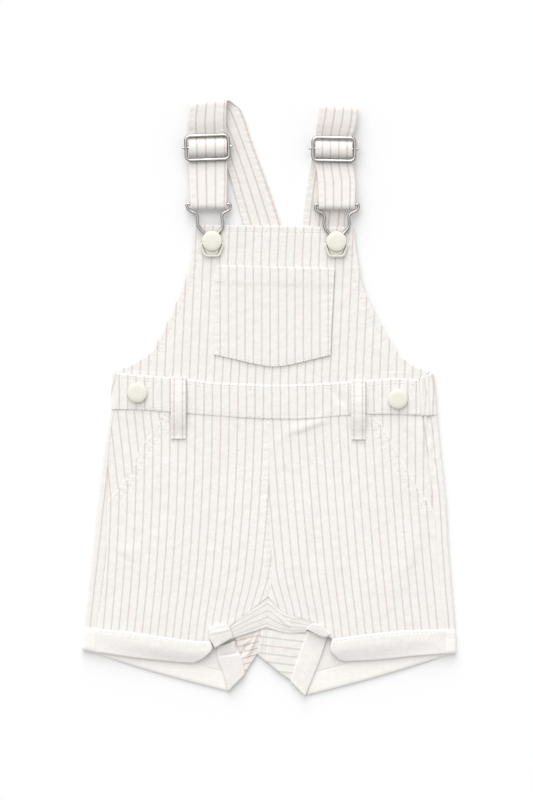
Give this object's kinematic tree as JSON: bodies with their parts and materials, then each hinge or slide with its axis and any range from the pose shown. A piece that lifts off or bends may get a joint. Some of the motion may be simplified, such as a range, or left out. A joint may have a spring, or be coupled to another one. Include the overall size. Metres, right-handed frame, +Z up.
{
  "type": "toddler dungaree shorts",
  "caption": "Short dungarees laid flat: bib with patch pocket, straps with wire sliders and hooks, waistband, slanted pockets and turned-up cuffs.",
  "frame": {"origin": "On the resting surface, under the middle of the garment's outline.", "axes": "+X to the right as one looks at the front, +Y from the hems up to the straps, +Z up from the surface."},
  "size_m": [0.281, 0.4462, 0.0091],
  "materials": {
    "striped_twill": "cream cotton twill with fine dusty pink stripes",
    "twill_reverse": "plain off-white reverse of the twill",
    "steel_wire": "polished nickel wire",
    "cream_enamel": "cream enamel, satin"
  },
  "bodies": {
    "root": {"back_leg_left": "striped_twill", "back_leg_right": "striped_twill", "back_waistband": "striped_twill", "back_bib": "striped_twill", "front_leg_left": "striped_twill", "front_leg_right": "striped_twill", "pocket_facing_left": "striped_twill", "pocket_facing_right": "striped_twill", "front_waistband": "striped_twill", "front_bib": "striped_twill", "bib_pocket": "striped_twill", "belt_loop_left": "striped_twill", "belt_loop_right": "striped_twill", "inseam_fold_left": "striped_twill", "inseam_fold_right": "striped_twill", "back_inseam_left": "striped_twill", "back_inseam_right": "striped_twill", "strap_left": "striped_twill", "strap_right": "striped_twill", "back_cuff_left": "twill_reverse", "back_cuff_right": "twill_reverse", "front_cuff_left": "twill_reverse", "front_cuff_right": "twill_reverse", "low_cuff_tab_left": "twill_reverse", "low_cuff_tab_right": "twill_reverse", "top_cuff_tab_left": "twill_reverse", "top_cuff_tab_right": "twill_reverse", "slider_left": "steel_wire", "slider_right": "steel_wire", "hook_left": "steel_wire", "hook_right": "steel_wire", "hook_plate_left": "cream_enamel", "hook_plate_right": "cream_enamel", "bib_button_left": "cream_enamel", "bib_button_right": "cream_enamel", "waist_button_left": "cream_enamel", "waist_button_right": "cream_enamel"}
  },
  "joints": []
}
